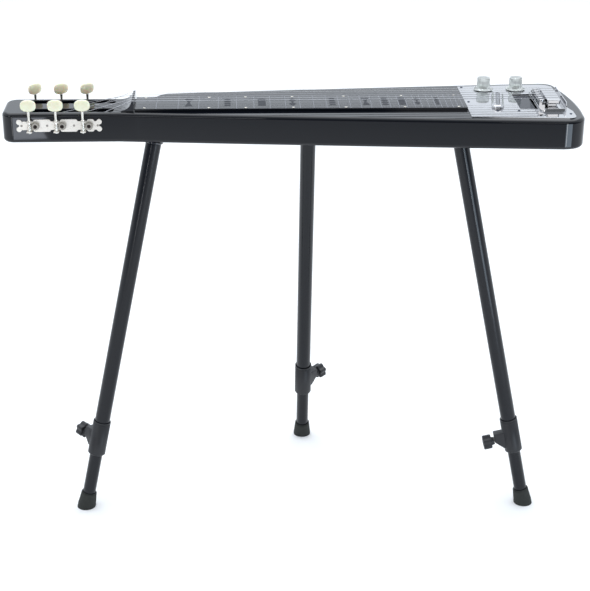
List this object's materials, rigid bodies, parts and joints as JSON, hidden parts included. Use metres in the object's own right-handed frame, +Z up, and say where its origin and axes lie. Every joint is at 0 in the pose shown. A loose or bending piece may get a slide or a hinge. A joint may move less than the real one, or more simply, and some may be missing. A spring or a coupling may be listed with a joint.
{
  "type": "lap steel guitar",
  "caption": "Black electric lap steel guitar with slotted head, chrome control plate and bridge, standing on splayed telescopic screw-in legs.",
  "frame": {"origin": "floor plane under the feet, in the middle of the object's box", "axes": "+X along the strings from the nut to the bridge, +Y away from the player, +Z up out of the playing face"},
  "size_m": [0.803, 0.2602, 0.636],
  "materials": {
    "lacquered_wood": "black gloss lacquer over a solid wood plank",
    "fretboard_sheet": "black gloss sheet with pale lines and markers",
    "chromed_casting": "polished chrome on metal blocks",
    "chromed_sheet": "polished chrome on pressed steel sheet",
    "dark_casting": "black chrome on a cast block, polished",
    "dark_socket": "black chrome on turned steel",
    "nickelled_steel": "nickel plate, slightly worn",
    "pearl_button": "pale pearl plastic, polished",
    "plain_string": "drawn plain steel wire",
    "wound_string": "nickel wire wound on steel",
    "clear_knob": "milky clear plastic, polished",
    "pot_case": "zinc plated steel",
    "pickup_pole": "ground steel bar",
    "pickup_case": "dark gloss plastic",
    "black_tube": "black satin powder coat on steel tube",
    "moulded_black": "black moulded plastic",
    "black_rubber": "black moulded rubber"
  },
  "bodies": {
    "guitar": {"body": "lacquered_wood", "fretboard": "fretboard_sheet", "nut": "dark_casting", "control_plate": "chromed_sheet", "pickup_cover": "chromed_sheet", "pickup_core": "pickup_pole", "bridge_pickup": "pickup_case", "volume_pot": "pot_case", "tone_pot": "pot_case", "bridge_tray": "chromed_sheet", "bridge_saddles": "chromed_casting", "string_anchor": "chromed_casting", "tuner_plate_front": "nickelled_steel", "tuner_plate_back": "nickelled_steel", "string_1": "plain_string", "string_2": "plain_string", "string_3": "wound_string", "string_4": "wound_string", "string_5": "wound_string", "string_6": "wound_string", "output_jack": "chromed_sheet", "leg_socket_left": "dark_socket", "leg_socket_right": "dark_socket", "leg_socket_rear": "dark_socket"},
    "tuner_1": {"tuner_worm_1": "nickelled_steel", "tuner_button_1": "pearl_button"},
    "tuner_2": {"tuner_worm_2": "nickelled_steel", "tuner_button_2": "pearl_button"},
    "tuner_3": {"tuner_worm_3": "nickelled_steel", "tuner_button_3": "pearl_button"},
    "tuner_4": {"tuner_worm_4": "nickelled_steel", "tuner_button_4": "pearl_button"},
    "tuner_5": {"tuner_worm_5": "nickelled_steel", "tuner_button_5": "pearl_button"},
    "tuner_6": {"tuner_worm_6": "nickelled_steel", "tuner_button_6": "pearl_button"},
    "post_1": {"tuner_post_1": "nickelled_steel"},
    "post_2": {"tuner_post_2": "nickelled_steel"},
    "post_3": {"tuner_post_3": "nickelled_steel"},
    "post_4": {"tuner_post_4": "nickelled_steel"},
    "post_5": {"tuner_post_5": "nickelled_steel"},
    "post_6": {"tuner_post_6": "nickelled_steel"},
    "volume": {"volume_knob": "clear_knob"},
    "tone": {"tone_knob": "clear_knob"},
    "leg_left": {"leg_upper_tube_left": "black_tube", "leg_collar_left": "moulded_black"},
    "lower_left": {"leg_lower_tube_left": "black_tube", "leg_foot_left": "black_rubber"},
    "clamp_left": {"leg_clamp_knob_left": "moulded_black"},
    "leg_right": {"leg_upper_tube_right": "black_tube", "leg_collar_right": "moulded_black"},
    "lower_right": {"leg_lower_tube_right": "black_tube", "leg_foot_right": "black_rubber"},
    "clamp_right": {"leg_clamp_knob_right": "moulded_black"},
    "leg_rear": {"leg_upper_tube_rear": "black_tube", "leg_collar_rear": "moulded_black"},
    "lower_rear": {"leg_lower_tube_rear": "black_tube", "leg_foot_rear": "black_rubber"},
    "clamp_rear": {"leg_clamp_knob_rear": "moulded_black"}
  },
  "joints": [
    {"name": "tuner_1_turn", "type": "hinge", "parent": "guitar", "child": "tuner_1", "pos_m": [-0.28943, -0.00052, 0.59827], "axis": [0, 0, 1], "continuous": true},
    {"name": "tuner_2_turn", "type": "hinge", "parent": "guitar", "child": "tuner_2", "pos_m": [-0.32613, -0.00052, 0.59827], "axis": [0, 0, 1], "continuous": true},
    {"name": "tuner_3_turn", "type": "hinge", "parent": "guitar", "child": "tuner_3", "pos_m": [-0.36283, -0.00052, 0.59827], "axis": [0, 0, 1], "continuous": true},
    {"name": "tuner_4_turn", "type": "hinge", "parent": "guitar", "child": "tuner_4", "pos_m": [-0.36283, -0.08413, 0.59827], "axis": [0, 0, 1], "continuous": true},
    {"name": "tuner_5_turn", "type": "hinge", "parent": "guitar", "child": "tuner_5", "pos_m": [-0.32613, -0.08413, 0.59827], "axis": [0, 0, 1], "continuous": true},
    {"name": "tuner_6_turn", "type": "hinge", "parent": "guitar", "child": "tuner_6", "pos_m": [-0.28943, -0.08413, 0.59827], "axis": [0, 0, 1], "continuous": true},
    {"name": "post_1_turn", "type": "hinge", "parent": "guitar", "child": "post_1", "pos_m": [-0.28133, -0.04362, 0.59827], "axis": [0, 1, 0], "continuous": true},
    {"name": "post_2_turn", "type": "hinge", "parent": "guitar", "child": "post_2", "pos_m": [-0.31803, -0.04362, 0.59827], "axis": [0, 1, 0], "continuous": true},
    {"name": "post_3_turn", "type": "hinge", "parent": "guitar", "child": "post_3", "pos_m": [-0.35473, -0.04362, 0.59827], "axis": [0, 1, 0], "continuous": true},
    {"name": "post_4_turn", "type": "hinge", "parent": "guitar", "child": "post_4", "pos_m": [-0.35473, -0.04362, 0.59827], "axis": [0, 1, 0], "continuous": true},
    {"name": "post_5_turn", "type": "hinge", "parent": "guitar", "child": "post_5", "pos_m": [-0.31803, -0.04362, 0.59827], "axis": [0, 1, 0], "continuous": true},
    {"name": "post_6_turn", "type": "hinge", "parent": "guitar", "child": "post_6", "pos_m": [-0.28133, -0.04362, 0.59827], "axis": [0, 1, 0], "continuous": true},
    {"name": "volume_turn", "type": "hinge", "parent": "guitar", "child": "volume", "pos_m": [0.27847, 0.01937, 0.61477], "axis": [0, 0, 1], "range_deg": [-150, 150]},
    {"name": "tone_turn", "type": "hinge", "parent": "guitar", "child": "tone", "pos_m": [0.32497, 0.01937, 0.61477], "axis": [0, 0, 1], "range_deg": [-150, 150]},
    {"name": "leg_left_screw", "type": "hinge", "parent": "guitar", "child": "leg_left", "pos_m": [-0.19353, -0.06913, 0.57277], "axis": [-0.205, -0.0511, -0.9774], "range_deg": [0, 5220]},
    {"name": "lower_left_slide", "type": "slide", "parent": "leg_left", "child": "lower_left", "axis": [-0.205, -0.0511, -0.9774], "range_m": [-0.06, 0.25]},
    {"name": "clamp_left_screw", "type": "hinge", "parent": "leg_left", "child": "clamp_left", "pos_m": [-0.31423, -0.06646, 0.11402], "axis": [-0.6588, 0.7457, 0.0992], "range_deg": [0, 5760]},
    {"name": "leg_right_screw", "type": "hinge", "parent": "guitar", "child": "leg_right", "pos_m": [0.23347, -0.08013, 0.57277], "axis": [0.205, -0.0511, -0.9774], "range_deg": [0, 5220]},
    {"name": "lower_right_slide", "type": "slide", "parent": "leg_right", "child": "lower_right", "axis": [0.205, -0.0511, -0.9774], "range_m": [-0.06, 0.25]},
    {"name": "clamp_right_screw", "type": "hinge", "parent": "leg_right", "child": "clamp_right", "pos_m": [0.29523, -0.1045, 0.10307], "axis": [-0.9787, -0.0053, -0.205], "range_deg": [0, 5760]},
    {"name": "leg_rear_screw", "type": "hinge", "parent": "guitar", "child": "leg_rear", "pos_m": [0.02447, -0.00762, 0.57277], "axis": [0, 0.2113, -0.9774], "range_deg": [0, 5220]},
    {"name": "lower_rear_slide", "type": "slide", "parent": "leg_rear", "child": "lower_rear", "axis": [0, 0.2113, -0.9774], "range_m": [-0.06, 0.25]},
    {"name": "clamp_rear_screw", "type": "hinge", "parent": "leg_rear", "child": "clamp_rear", "pos_m": [0.05122, 0.11588, 0.11554], "axis": [0.7431, 0.654, 0.1414], "range_deg": [0, 5760]}
  ],
  "couplings": [
    {"joint": "post_1_turn", "follows": "tuner_1_turn", "ratio": -0.071429},
    {"joint": "post_2_turn", "follows": "tuner_2_turn", "ratio": -0.071429},
    {"joint": "post_3_turn", "follows": "tuner_3_turn", "ratio": -0.071429},
    {"joint": "post_4_turn", "follows": "tuner_4_turn", "ratio": -0.071429},
    {"joint": "post_5_turn", "follows": "tuner_5_turn", "ratio": -0.071429},
    {"joint": "post_6_turn", "follows": "tuner_6_turn", "ratio": -0.071429}
  ]
}
